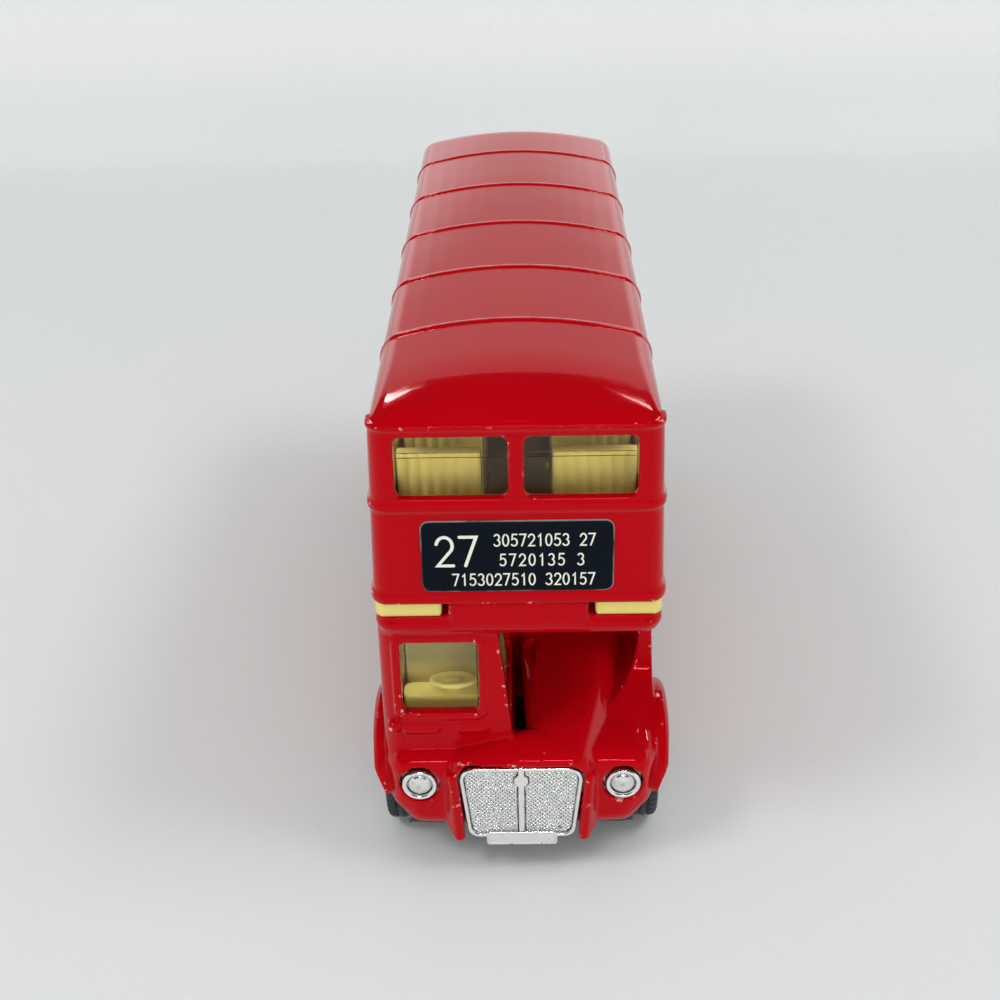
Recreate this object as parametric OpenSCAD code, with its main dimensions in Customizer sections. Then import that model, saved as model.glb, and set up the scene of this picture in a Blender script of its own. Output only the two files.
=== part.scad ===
// Toy half-cab double-decker bus with an open rear platform.
// Millimetres. Z is up and Z = 0 is the floor, the front faces -Y and the driver sits at -X.

/* [Overall] */
// Length from the radiator shell to the rear panel
bus_l = 125; // [123:1:128]
// Width of the upper deck between its side panels
deck_w = 35.5; // [34.9:0.1:35.8]
// Height of the roof crown above the floor
bus_h = 67; // [66:0.5:69]

/* [Upper deck] */
// Height of the lower lip of the upper casting
upper_z = 39.6; // [39.4:0.1:39.8]
// Height of the window sills
sill_z = 53.95; // [53.6:0.05:54.4]
// Height of the upper windows
window_h = 7.9; // [7.2:0.1:8.1]
// Distance between two roof ribs, which is also one window bay
bay = 20.05; // [19.6:0.05:20.2]
// Radius of the roof crown across the bus
crown_r = 60; // [50:5:90]
// Wall thickness of both castings
wall = 1.4; // [1.2:0.1:1.6]

/* [Lower deck] */
// Height of the lower edge of the side panels
skirt_z = 5.4; // [5:0.1:6]
// Height of the underside of the canopy over the bonnet
canopy_z = 34.9; // [34.4:0.1:35.2]
// Height of the sills of the saloon windows
saloon_sill_z = 22.8; // [22:0.2:24]
// Height of the saloon windows
saloon_window_h = 9.8; // [9:0.2:10.4]

/* [Radiator] */
// Width of the grille at its top
grille_w = 15.8; // [15:0.1:16]
// Distance between the crossing bars of the grille
mesh_pitch = 1.5; // [1.2:0.1:2.2]
// Distance between the centres of the headlamps
lamp_gap = 26.2; // [25:0.1:26.6]
// Diameter of the headlamp rims
lamp_d = 4.6; // [4:0.1:4.8]

/* [Wheels] */
// Diameter of the tyres
wheel_d = 15.5; // [14.5:0.1:15.8]
// Distance between the axles
wheelbase = 75; // [73:0.5:77]
// Diameter of the axles
axle_d = 2; // [1.8:0.1:2.4]
// Width of the tyres
tyre_w = 4.8; // [4.2:0.1:5]

/* [Seats] */
// Distance between two rows of seats
row_pitch = 11; // [10.6:0.1:11.2]
// Flutes in each seat back
flutes = 7; // [5:1:9]

/* [Hidden] */
$fn = 48;

RED = [0.70, 0.01, 0.03];
CREAM = [0.90, 0.85, 0.50];
CLEAR = [0.85, 0.90, 0.88, 0.4];
PLATED = [0.80, 0.81, 0.80];
DARK = [0.04, 0.06, 0.09];
GREY = [0.30, 0.31, 0.32];

front_y = -bus_l / 2;
rear_y = bus_l / 2;
half_w = deck_w / 2;
low_w = half_w - 0.25;
bead = 0.3;

// Upper deck
deck_front = front_y + 3.1;
deck_rear = rear_y - bead;
rib_y = [for (i = [0:4]) front_y + 26.8 + bay * i];
lean = 0.5;
eaves_z = bus_h - 5.2;
drip_z = bus_h - 3.8;
waist_z = sill_z - 1.2;
inner_w = half_w - lean - wall;
glass_top = drip_z - 0.3;
pillar = 1.25;
upper_bays = concat([[deck_front + 3.8, rib_y[0] - pillar]],
                    [for (i = [0:3]) [rib_y[i] + pillar, rib_y[i + 1] - pillar]],
                    [[rib_y[4] + pillar, deck_rear - 4.6]]);
front_pane = [0.95, 14.2];
label_w = 23;
label_z = [41.4, 51.1];
label_t = 0.25;

// Deck between the castings
band_z = upper_z - 2.1;
band_w = half_w - 0.15;
band_gap = 9.35;
spigot_z = upper_z + 1.2;
post_r = 2.2;
upper_posts = [front_y + 51.5, front_y + 91.5];
lower_posts = [[0, front_y + 30.5], [-3.4, front_y + 112]];
head_r = 3;
head_t = 0.7;

// Lower deck
cab_front = front_y + 3.9;
side_x = low_w + 0.2;
saloon_x = side_x - wall;
bulkhead_y = front_y + 24.3;
ceiling_z = band_z - 1.5;
saloon_bays = [for (i = [0:3]) [rib_y[i] + pillar, rib_y[i + 1] - pillar]];
platform_y = rib_y[4] + 1;
lower_rear = rear_y - bead;
cab_top_x = -2.65;
cab_foot_x = -0.55;
screen_x = [-14.9, -5.1];
screen_z = [22.9, 33.5];
recess_z = 15.6;
glass = 0.9;

// Nose and wings
wing_front = front_y + 1.7;
wing_x = low_w + 2.1;
nose_w = 9.2;
nose_z = 18.4;
front_dome = 14;
rear_dome = 4.5;
lamp_x = lamp_gap / 2;
lamp_z = 12.9;
lamp_hole_r = lamp_d / 2 + 0.3;
grille_z = [4.1, 16.5];
grille_y = front_y + 0.35;
carrier_y = wing_front + 1.5;

// Running gear
wheel_r = wheel_d / 2;
front_axle_y = front_y + 13.8;
rear_axle_y = front_axle_y + wheelbase;
axle_r = axle_d / 2;
hub_r = wheel_r * 0.64;
tyre_out = low_w + 0.7;
tyre_in = tyre_out - tyre_w;
arch_r = wheel_r + 0.9;
bearing_x = tyre_in - 1;
fit = 0.05;
base_z = [4.1, 5.5];
floor_z = 9.2;
step_z = 7.2;

// A Bezier curve of n steps
function bez(a, b, c, d, n = 6) =
    [for (i = [0:n]) let (t = i / n, s = 1 - t) s*s*s*a + 3*s*s*t*b + 3*s*t*t*c + t*t*t*d];

// Points of an arc about c, from angle a0 to a1
function arc(c, r, a0, a1, n = 5) =
    [for (i = [0:n]) let (a = a0 + (a1 - a0) * i / n) c + r * [cos(a), sin(a)]];

function flip(pts) = [for (i = [len(pts) - 1:-1:0]) [-pts[i].x, pts[i].y]];

// Fall of the roof below its crown at x
function fall(x) = crown_r - sqrt(crown_r * crown_r - x * x);

// Extrudes a Y-Z outline across the bus
module across(x0, x1) {
    translate([x0, 0, 0]) rotate([90, 0, 90]) linear_extrude(x1 - x0) children();
}

// Extrudes an X-Z outline along the bus
module along(y0, y1) {
    translate([0, y1, 0]) rotate([90, 0, 0]) linear_extrude(y1 - y0) children();
}

// Extrudes a plan upwards
module up(z0, z1) {
    translate([0, 0, z0]) linear_extrude(z1 - z0) children();
}

module block(x, y, z) {
    translate([x[0], y[0], z[0]]) cube([x[1] - x[0], y[1] - y[0], z[1] - z[0]]);
}

// A rectangle with round corners, given by its two ranges
module rounded(a, b, r) {
    polygon(concat(arc([a[1] - r, b[1] - r], r, 0, 90), arc([a[0] + r, b[1] - r], r, 90, 180),
                   arc([a[0] + r, b[0] + r], r, 180, 270), arc([a[1] - r, b[0] + r], r, 270, 360)));
}

// Plan of a deck, with its own corner radii at the front and the rear
module deck_plan(hw, y0, y1, rf = 2.3, rr = 3) {
    polygon(concat(arc([hw - rr, y1 - rr], rr, 0, 90), arc([rr - hw, y1 - rr], rr, 90, 180),
                   arc([rf - hw, y0 + rf], rf, 180, 270), arc([hw - rf, y0 + rf], rf, 270, 360)));
}

// Half of the section of the upper deck, from its foot to the crown
function deck_half(grow) =
    let (edge = half_w - lean + grow, x = half_w - 2.9, z = bus_h - fall(x) + grow)
    concat([[half_w + grow, upper_z]],
           bez([edge, eaves_z], [edge - 0.05, eaves_z + 2.1], [x + 1.1, z - 0.28], [x, z], 10),
           [for (i = [5:-1:0]) [x * i / 6, bus_h - fall(x * i / 6) + grow]]);

// Depth from the end of a dome of length n at which its elliptic profile has turned by angle a
function depth(a, n) = n * (1 - cos(a));

// Inset of the sides at depth d in a round corner of radius r
function corner(d, r) = d >= r ? 0 : r - sqrt(r * r - (r - d) * (r - d));

// Section of the upper deck at angle a of an end dome of length n
module deck_section(grow, a, n, r) {
    right = [for (p = deck_half(grow))
             [p.x * (1 - corner(depth(a, n), r) / half_w), min(p.y, drip_z) + max(p.y - drip_z, 0) * sin(a)]];
    polygon(concat(right, flip(right)));
}

// Upper deck as a loft of its sections, with a long dome at the front and a short one at the rear
module upper_shape(grow = 0) {
    hull() {
        for (a = [0, 4, 8, 12, 16, 20, 24, 28, 32, 38, 46, 55, 64, 73, 82, 90])
            let (y = deck_front - grow + depth(a, front_dome))
            along(y, y + 0.01) deck_section(grow, a, front_dome, 2.3);
        for (a = [0, 10, 20, 30, 42, 54, 66, 78, 90])
            let (y = deck_rear + grow - depth(a, rear_dome))
            along(y - 0.01, y) deck_section(grow, a, rear_dome, 3);
    }
}

// Raised line round the upper deck
module upper_bead(z, h, hw, r = bead) {
    up(z, z + h) deck_plan(hw + r, deck_front - r, deck_rear + r, 2.6, 3.3);
}

// Ribs across the roof, running down the pillars to the waist
module roof_ribs() {
    intersection() {
        upper_shape(0.25);
        union() for (y = rib_y) block([-deck_w, deck_w], [y - 0.4, y + 0.4], [waist_z, bus_h + 1]);
    }
}

module upper_windows() {
    z = [sill_z, sill_z + window_h];
    for (b = upper_bays) across(-deck_w, deck_w) rounded(b, z, 1.2);
    for (s = [-1, 1]) scale([s, 1, 1]) along(deck_front - 5, deck_front + 5) rounded(front_pane, z, 0.9);
    for (s = [-1, 1]) scale([s, 1, 1]) along(deck_rear - 5, deck_rear + 5) rounded([0.8, 11], z, 1.6);
}

module upper_body() {
    color(RED) {
        difference() {
            union() {
                upper_shape();
                roof_ribs();
                intersection() {
                    upper_bead(drip_z - 0.35, 0.6, half_w - lean, 0.32);
                    block([-deck_w, deck_w], [front_y, deck_front + 3.6], [0, bus_h]);
                }
                upper_bead(waist_z - 0.4, 0.8, half_w - 0.25);
                upper_bead(upper_z, 1.1, half_w);
            }
            up(upper_z - 1, glass_top) deck_plan(inner_w, deck_front + wall, deck_rear - wall, 1.4, 1.6);
            up(upper_z, bus_h - 2.5) deck_plan(inner_w - 3, deck_front + 10, deck_rear - 7, 1.4, 1.6);
            upper_windows();
        }
        for (y = upper_posts) translate([0, y, 0]) {
            translate([0, 0, ceiling_z]) cylinder(r = post_r, h = bus_h - 1.5 - ceiling_z);
            translate([0, 0, ceiling_z - 0.8]) cylinder(r = head_r, h = 0.8);
        }
    }
}

// The bar moulded across each front pane, where the vent would open
module vent_bars() {
    z = sill_z + window_h * 0.61;
    for (s = [-1, 1]) scale([s, 1, 1])
        block([front_pane[0] + 0.3, front_pane[1] - 0.3], [deck_front + wall - 0.25, deck_front + wall + 0.1],
              [z, z + 0.6]);
}

module upper_glazing() {
    color(CLEAR) {
        difference() {
            up(waist_z, glass_top) deck_plan(inner_w, deck_front + wall, deck_rear - wall, 1.4, 1.6);
            up(waist_z - 1, glass_top - glass)
                deck_plan(inner_w - glass, deck_front + wall + glass, deck_rear - wall - glass, 0.8, 0.8);
            for (y = upper_posts) translate([0, y, 0]) cylinder(r = post_r + 0.3, h = bus_h);
        }
        vent_bars();
    }
}

// One seat back with vertical flutes on its front, and the cushion before it
module seat(x, y, z0, top) {
    span = x[1] - x[0];
    step = span / flutes;
    front = [for (i = [0:flutes - 1], t = [0, 0.2, 0.5, 0.8])
             [x[0] + (i + t) * step, y - (t == 0 ? 0.6 : t == 0.5 ? 1.15 : 1.0)]];
    up(z0, top) polygon(concat(front, [[x[1], y - 0.6], [x[1], y + 0.8], [x[0], y + 0.8]]));
    block(x, [y - 6.4, y], [z0, z0 + 5]);
}

module upper_deck() {
    rows = [for (i = [0:8]) deck_front + 10.2 + row_pitch * i];
    color(CREAM) {
        difference() {
            union() {
                up(band_z, upper_z) deck_plan(band_w, deck_front + 0.35, deck_rear - 0.35, 1.4, 2.6);
                up(upper_z, spigot_z) deck_plan(inner_w, deck_front + wall, deck_rear - wall, 1.4, 1.6);
            }
            block([-band_gap, band_gap], [deck_front - 5, deck_front + 6], [band_z - 1, upper_z + 0.25]);
            block([-14.5, -6], [rows[8] + 2, deck_rear - 4.6], [band_z - 1, spigot_z + 1]);
            for (y = upper_posts) translate([0, y, band_z - 1]) cylinder(r = post_r, h = 10);
        }
        for (y = rows, s = [-1, 1]) scale([s, 1, 1]) seat([4.3, 14.7], y, spigot_z - 0.4, sill_z + 1.65);
    }
}

module route_label() {
    color(DARK) along(deck_front - label_t, deck_front)
        rounded([-label_w / 2, label_w / 2], label_z, 1.1);
}

// Outer wall of the nearside wing, hollow on its inner face, sweeping up to the pillar before the bulkhead
module wing_sweep() {
    y = wing_front;
    x = side_x - 1.8;
    intersection() {
        across(x - 7, side_x)
            polygon(concat([[y + 3.4, 12]],
                           bez([y + 3.4, 16.2], [y + 11.5, 18.2], [y + 15.5, 21.6], [y + 16.8, 29], 9),
                           [[y + 17, canopy_z + 0.5], [bulkhead_y + 1, canopy_z + 0.5], [bulkhead_y + 1, 12]]));
        along(y, bulkhead_y + 2)
            polygon(concat([[side_x + 1, 10], [side_x + 1, bus_h], [x, bus_h]],
                           bez([x, 27], [x, 21.5], [x - 2.4, 18.4], [x - 6.2, 17.8], 9), [[x - 6.2, 10]]));
    }
}

// Floor of the valley between the bonnet and that wall, rising to the rear
module wing_valley() {
    y = wing_front;
    across(4, side_x - 1)
        polygon(concat([[y + 3, 12]],
                       bez([y + 3, 17.1], [y + 9, 17.4], [y + 16, 18.2], [bulkhead_y + 1, 19.4]),
                       [[bulkhead_y + 1, 12]]));
}

// Round front of one wing, about its headlamp
module wing_round() {
    r = 2.4;
    y = wing_front + r;
    x = side_x - r;
    hull() balls(r, [[5, y, 14.8], [x - 0.7, y, 14.7], [x, y + 1.3, 14.4], [x, y + 9, 15.4], [5, y + 9, 15.4],
                     [5, y, 7.8], [x - 2.4, y, 8.2], [x - 0.7, y + 0.5, 9.8], [x, y + 2, 12],
                     [x, y + 9, 12], [5, y + 9, 9]]);
}

// Flared lip of a front wheel arch: part of a ring about the axle, dying away towards its front end
module wing_flare() {
    r = 1.45;
    ring = arch_r + 0.9;
    x = wing_x - r;
    tip = asin((10.8 - wheel_r) / ring);
    intersection() {
        union() {
            translate([0, front_axle_y, wheel_r]) rotate([90, 0, 90])
                rotate_extrude(angle = 180 - tip, $fn = 64) translate([ring, x]) circle(r = r, $fn = 24);
            translate([x, front_axle_y - ring * cos(tip), wheel_r + ring * sin(tip)]) sphere(r = r, $fn = 24);
        }
        translate([wing_x - 80, front_axle_y - 1, 0]) cylinder(r = 80, h = 40, $fn = 240);
    }
}

// Thin raised rim of a rear wheel arch
module rear_rim() {
    intersection() {
        translate([side_x - 1, rear_axle_y, wheel_r]) rotate([0, 90, 0])
            cylinder(r = arch_r + 1.3, h = 1.45, $fn = 64);
        block([0, deck_w], [rear_axle_y - 12, rear_axle_y + 12], [skirt_z, 30]);
    }
}

// A round-nosed form through a list of ball centres
module balls(r, centres) {
    for (c = centres) translate(c) sphere(r = r, $fn = 24);
}

// Bonnet, falling in one slope from the bulkhead to the radiator shell
module bonnet() {
    y = front_y + 2.3;
    hull() {
        for (x = [2.1, 11.6]) translate([x, bulkhead_y, 20.8]) rotate([90, 0, 0])
            cylinder(r = 2.2, h = 1, $fn = 24);
        balls(2.2, [[3.1, y, nose_z - 2.2], [6.6, y, nose_z - 2.3]]);
        block([0.2, 13.8], [bulkhead_y - 1, bulkhead_y], [12, 18]);
        block([1, 10.6], [y + 0.6, y + 1], [12, 15.4]);
    }
    hull() {
        balls(2.2, [[2.2 - nose_w, y, nose_z - 3.2], [0, y, nose_z - 2.2], [nose_w - 2.2, y, nose_z - 2.7],
                    [-6.6, cab_front + 0.6, nose_z - 3.3], [1.6, cab_front + 0.6, nose_z - 1.4],
                    [8.2, cab_front + 0.6, nose_z - 3.2]]);
        block([-nose_w, nose_w], [front_y + 1.2, cab_front + 3], [9, 12]);
    }
}

// The two fins of the radiator shell, each side of the grille
module radiator_fins() {
    for (s = [-1, 1]) hull() {
        balls(0.75, [[s * 8.1, front_y + 0.75, 5.4], [s * 8.7, front_y + 0.75, 14.8]]);
        block([s * 8.9 - 0.9, s * 8.9 + 0.9], [wing_front + 0.1, wing_front + 1.5], [6.3, 15]);
    }
}

// Outline of the grille, narrower at its foot, grown for the opening in the shell
module grille_outline(grow) {
    w = grille_w / 2 + grow;
    foot = w - 0.85;
    z = [grille_z[0] + 1.3 - grow, grille_z[1] + grow];
    right = concat(arc([foot - 1.6, z[0] + 1.6], 1.6, -90, 0), arc([w - 2, z[1] - 2], 2, 0, 90));
    polygon(concat(right, flip(right)));
}

// Cab and saloon as one closed block with the canopy above
module lower_block() {
    up(skirt_z, band_z - 1) deck_plan(side_x, cab_front, lower_rear, 2.6, 3);
    hull() {
        up(canopy_z + 0.3, band_z - 0.5) deck_plan(low_w - 0.15, deck_front + 0.4, deck_rear - 0.1, 2.2, 3);
        up(canopy_z + 1, band_z - 1) deck_plan(low_w + 0.2, deck_front, deck_rear + 0.1, 2.5, 3);
    }
    up(canopy_z, band_z) deck_plan(low_w - 0.15, deck_front + 0.4, deck_rear - 0.1, 2.2, 3);
    up(band_z - 1, upper_z) rounded([-8.35, 8.35], [deck_front - 0.1, deck_front + 5], 0.4);
    up(band_z - 1, upper_z - 0.15) rounded([-8.6, 8.6], [deck_front + 0.1, deck_front + 5], 0.4);
}

// Space over the bonnet, beside the cab
module bonnet_recess() {
    along(front_y - 5, bulkhead_y)
        polygon([[cab_foot_x, recess_z], [cab_top_x, canopy_z], [deck_w, canopy_z], [deck_w, recess_z]]);
    block([-nose_w, deck_w], [front_y - 5, cab_front + 3], [0, recess_z]);
    block([-deck_w, deck_w], [front_y - 5, front_axle_y], [0, 13]);
}

// Open platform at the nearside rear corner
module platform_opening() {
    block([-1, deck_w], [platform_y, rear_y + 5], [0, canopy_z]);
}

module lower_windows() {
    z = [saloon_sill_z, saloon_sill_z + saloon_window_h];
    for (b = saloon_bays) across(-deck_w, deck_w) rounded(b, z, 1.2);
    across(-deck_w, -10) rounded([cab_front + 3.4, bulkhead_y - 4], screen_z, 1.2);
    across(-6, 2) rounded([cab_front + 1.5, bulkhead_y - 3], [saloon_sill_z - 1.6, screen_z[1] + 0.8], 1.2);
    along(cab_front - 5, cab_front + 5) rounded(screen_x, screen_z, 0.7);
    along(bulkhead_y - 5, bulkhead_y + 3) rounded([3, 13.5], [z[0] + 2, z[1]], 1.2);
}

module lower_cavity() {
    up(0, ceiling_z) deck_plan(saloon_x, bulkhead_y + wall, lower_rear - wall, 1.2, 1.6);
    block([-saloon_x, -4], [cab_front + wall, bulkhead_y + 3], [0, ceiling_z]);
    along(cab_front + wall, bulkhead_y + 3)
        polygon([[-5, 0], [cab_foot_x - wall, 0], [cab_foot_x - wall, recess_z + 4],
                 [cab_top_x - wall, ceiling_z], [-5, ceiling_z]]);
}

// Hollow under the bonnet and the wings, with the holes for the grille and the lamps
module nose_hollow() {
    block([-saloon_x, saloon_x], [carrier_y, bulkhead_y + wall], [0, recess_z - 0.4]);
    block([-nose_w + 1.4, nose_w - 1.4], [front_y + 2.2, carrier_y + 1], [0, recess_z + 0.9]);
    along(front_y - 1, carrier_y + 1) grille_outline(0.25);
    for (s = [-1, 1]) translate([s * lamp_x, carrier_y + 1, lamp_z]) rotate([90, 0, 0])
        cylinder(r = lamp_hole_r, h = 5, $fn = 32);
}

module wheel_arches() {
    for (y = [front_axle_y, rear_axle_y]) translate([-deck_w, y, wheel_r]) rotate([0, 90, 0])
        cylinder(r = arch_r, h = 2 * deck_w, $fn = 64);
}

// Frame, lamp boss and two pressed panels on the front of the cab
module cab_face() {
    along(cab_front - 0.3, cab_front + 0.5) difference() {
        rounded([screen_x[0] - 1, screen_x[1] + 1], [screen_z[0] - 1, screen_z[1] + 0.9], 1.6);
        rounded(screen_x, screen_z, 0.7);
    }
    for (x = [[-14.9, -10.3], [-8, -4.2]])
        along(cab_front - 0.35, cab_front + 0.5) rounded(x, [19.8, 21.1], 0.55);
    translate([-16.1, cab_front + 0.2, 20.8]) sphere(r = 1, $fn = 24);
}

module side_beads() {
    for (z = [saloon_sill_z - 1.6, 13.2]) difference() {
        up(z, z + 0.7) deck_plan(side_x + 0.25, cab_front + 6, lower_rear + 0.25, 2.6, 3.2);
        up(z - 1, z + 2) deck_plan(side_x - 0.3, cab_front + 5, lower_rear - 0.3, 2.3, 2.8);
        block([-deck_w, deck_w], [front_y, bulkhead_y + 0.5], [0, bus_h]);
    }
}

module lower_body() {
    color(RED) {
        difference() {
            union() {
                difference() {
                    lower_block();
                    bonnet_recess();
                }
                side_beads();
                cab_face();
                wing_sweep();
                wing_valley();
                for (s = [-1, 1]) scale([s, 1, 1]) {
                    wing_round();
                    wing_flare();
                    rear_rim();
                }
                bonnet();
                radiator_fins();
            }
            lower_cavity();
            nose_hollow();
            wheel_arches();
            lower_windows();
            platform_opening();
            for (y = upper_posts) translate([0, y, ceiling_z - 1]) cylinder(r = post_r + 0.02, h = 10);
        }
        for (p = lower_posts) translate([p.x, p.y, base_z[0] + 0.1]) {
            cylinder(r = post_r, h = ceiling_z + 0.4 - base_z[0]);
            cylinder(r = head_r, h = head_t);
        }
    }
}

// Clear walls behind the saloon and cab windows, joined by a sheet under the ceiling
module lower_glazing() {
    z = [saloon_sill_z - 1.2, ceiling_z];
    saloon = [bulkhead_y + wall, platform_y - 0.3];
    cab = [cab_front + wall, bulkhead_y + 3];
    cab_in = cab_top_x - wall - 0.5;
    color(CLEAR) difference() {
        union() {
            up(z[0], z[1]) rounded([-saloon_x, saloon_x], saloon, 1.2);
            block([-saloon_x, cab_in], cab, z);
        }
        block([glass - saloon_x, saloon_x - glass], [saloon[0] + glass, saloon[1] + 1], [0, z[1] - glass]);
        block([glass - saloon_x, cab_in - glass], [cab[0] + glass, saloon[1]], [0, z[1] - glass]);
        for (y = upper_posts) translate([0, y, 0]) cylinder(r = head_r + 0.3, h = bus_h);
        for (p = lower_posts) translate(p) cylinder(r = post_r + 0.3, h = bus_h);
    }
}

// Floor of the open platform, cut to the outline of the body where no wall stands
module platform(z0, z1) {
    intersection() {
        up(z0, z1) deck_plan(side_x - 0.2, 0, lower_rear - 0.2, 2, 3);
        union() {
            block([-0.7, deck_w], [platform_y + 0.3, rear_y], [z0, z1]);
            up(z0, z1) rounded([0.2 - saloon_x, saloon_x - 0.2], [platform_y - 4, rear_y - 2], 1.6);
        }
    }
}

// Stairs at the rear of the driver's side, rising to the upper deck
module stairs() {
    for (i = [0:6]) let (y = platform_y + 1.6 + 1.5 * i)
        block([-15.2, -5.8], [y, rear_y - 2.4], [step_z - 0.5, step_z + 3.6 * (i + 1)]);
}

// Steering wheel with a dished centre, on its column
module steering_wheel() {
    rotate_extrude() polygon(concat([[0, -2], [0.9, -2], [0.9, 0.1], [2.3, 0.3]],
                                    arc([2.75, 0.45], 0.45, 200, 520, 8),
                                    [[1.2, 0.5], [1, 0.8], [0, 0.9]]));
}

// The driver's floor, dash, wheel and seat, with the partition behind
module cab_inside() {
    x = [-13.6, -3.6];
    y = cab_front;
    block(x, [y + 6, bulkhead_y + 4], [16.2, 18]);
    up(16.2, 21.6) rounded([glass + 0.1 - saloon_x, x[1]], [y + 5.6, y + 8.8], 0.8);
    translate([-8.8, y + 7.5, 22.2]) rotate([-18, 0, 0]) steering_wheel();
    up(17, 19.2) rounded([-12.6, -6], [y + 9.6, y + 12.4], 1);
    block([glass + 0.1 - saloon_x, x[1] - 1.6], [y + 12, y + 13.2], [17, screen_z[1] + 0.6]);
    block(x, [bulkhead_y + 1.9, bulkhead_y + 4], [floor_z - 1, 18]);
}

// Bench along each side, over the rear wheel
module wheel_bench() {
    y = [rear_axle_y - 9.6, rear_axle_y + 10.5];
    block([11.8, 15.2], y, [floor_z - 0.2, 18]);
    block([14, 15.2], y, [17, saloon_sill_z + 0.6]);
}

module lower_deck() {
    rows = [for (i = [0:3]) bulkhead_y + 11.5 + row_pitch * i];
    saloon = [bulkhead_y + wall + 0.2, platform_y - 1];
    color(CREAM) difference() {
        union() {
            block([-saloon_x + 0.2, saloon_x - 0.2], saloon, [floor_z - 1.2, floor_z]);
            for (x = [-9, 9]) block([x - 0.6, x + 0.6], [saloon[0], rear_axle_y - 12], [base_z[1], floor_z]);
            block([-12.2, 12.2], [rear_axle_y - 3.6, rear_axle_y + 3.6], [floor_z - 1.2, floor_z + 2]);
            platform(step_z - 1.6, step_z);
            block([-saloon_x + 0.2, saloon_x - 0.2], [saloon[1] - 1.2, saloon[1]], [step_z - 1.6, floor_z]);
            for (y = rows, s = [-1, 1]) scale([s, 1, 1]) seat([4.3, 14.7], y, floor_z - 0.2, saloon_sill_z + 1);
            for (s = [-1, 1]) scale([s, 1, 1]) wheel_bench();
            stairs();
            cab_inside();
            translate([13.8, rear_y - 4.2, step_z - 1]) cylinder(r = 0.6, h = ceiling_z - step_z + 1);
        }
        for (s = [-1, 1]) scale([s, 1, 1]) translate([11.4, rear_axle_y, wheel_r]) rotate([0, 90, 0])
            cylinder(r = arch_r, h = 12);
        block([-bearing_x - 0.3, bearing_x + 0.3], [rear_axle_y - 2.7, rear_axle_y + 2.7], [0, floor_z + 0.9]);
        for (p = lower_posts) translate(p) cylinder(r = post_r, h = bus_h);
    }
}

// Crossing bars of the grille, within one half of it
module grille_bars() {
    reach = 18;
    for (a = [-45, 45], i = [-7:7]) rotate(a) translate([i * mesh_pitch, 0])
        square([0.55, reach * 2], center = true);
}

module radiator_grille() {
    mid = (grille_z[0] + grille_z[1]) / 2;
    color(PLATED) {
        difference() {
            along(grille_y, grille_y + 2) grille_outline(0);
            along(grille_y - 1, grille_y + 0.8) for (s = [-1, 1]) scale([s, 1])
                rounded([0.5, grille_w / 2 - 1.1], [grille_z[0] + 2.5, grille_z[1] - 0.7], 0.9);
        }
        along(grille_y + 0.3, grille_y + 1.2) intersection() {
            translate([0, mid]) grille_bars();
            rounded([-grille_w / 2 + 0.9, grille_w / 2 - 0.9], [grille_z[0] + 2.2, grille_z[1] - 0.5], 1);
        }
        translate([0, grille_y + 0.6, grille_z[1] - 2.1]) rotate([90, 0, 0]) cylinder(r = 1, h = 0.8);
        along(grille_y - 0.1, grille_y + 2) rounded([-4.65, 4.65], [grille_z[0], grille_z[0] + 2.2], 0.5);
        block([-7, 7], [grille_y + 1.8, carrier_y + 1], [grille_z[0] + 3, grille_z[1] - 1]);
        block([-15.6, 15.6], [carrier_y, carrier_y + 1], [lamp_z - 2.6, lamp_z + 1.8]);
        for (s = [-1, 1]) translate([s * lamp_x, carrier_y + 0.5, lamp_z]) rotate([90, 0, 0]) headlamp();
    }
}

// Stem, rim and domed lens of a headlamp, along its own axis
module headlamp() {
    r = lamp_d / 2;
    rotate_extrude() polygon(concat([[0, 0], [r, 0]],
        bez([r, 1.8], [r, 2.3], [r - 0.5, 2.3], [r - 0.6, 1.8], 4), [[r - 0.75, 1.6]],
        bez([r - 0.8, 1.7], [r - 1.2, 2.2], [0.6, 2.4], [0, 2.4], 5)));
}

// Raised forms under the base: two long ribs, the shaft and the rear axle casing
module base_forms() {
    for (x = [-13.2, 13.2])
        block([x - 0.5, x + 0.5], [front_axle_y + 12, rear_axle_y - 12], [base_z[0] - 0.5, base_z[1]]);
    intersection() {
        union() {
            translate([3, front_axle_y + 22, base_z[0] + 0.7]) rotate([-90, 0, 0])
                cylinder(r = 1.6, h = wheelbase - 26);
            translate([3, rear_axle_y, base_z[0] + 2.2]) sphere(r = 4);
            translate([-9, rear_axle_y, base_z[0] + 0.8]) rotate([0, 90, 0]) cylinder(r = 2, h = 18);
        }
        block([-deck_w, deck_w], [front_y, rear_y], [0, base_z[1]]);
    }
}

// Flat base with wheel bays and two bearings for each axle
module base_plate() {
    color(GREY) difference() {
        union() {
            up(base_z[0], base_z[1])
                rounded([-saloon_x + 0.2, saloon_x - 0.2], [carrier_y + 1.6, platform_y - 0.4], 1.2);
            platform(base_z[0], step_z - 1.6);
            for (y = [front_axle_y, rear_axle_y], s = [-1, 1]) scale([s, 1, 1])
                block([bearing_x - 4, bearing_x], [y - 2.4, y + 2.4], [base_z[0], wheel_r + axle_r + 1]);
            base_forms();
        }
        for (y = [front_axle_y, rear_axle_y]) {
            translate([-deck_w, y, wheel_r]) rotate([0, 90, 0]) cylinder(r = axle_r + 0.02, h = 2 * deck_w);
            for (s = [-1, 1]) scale([s, 1, 1])
                block([bearing_x, deck_w], [y - arch_r, y + arch_r], [0, base_z[1] + 1]);
        }
        for (p = lower_posts) translate(p) {
            cylinder(r = post_r, h = 20);
            cylinder(r = head_r + 0.1, h = base_z[0] + 0.1 + head_t);
        }
    }
}

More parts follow.
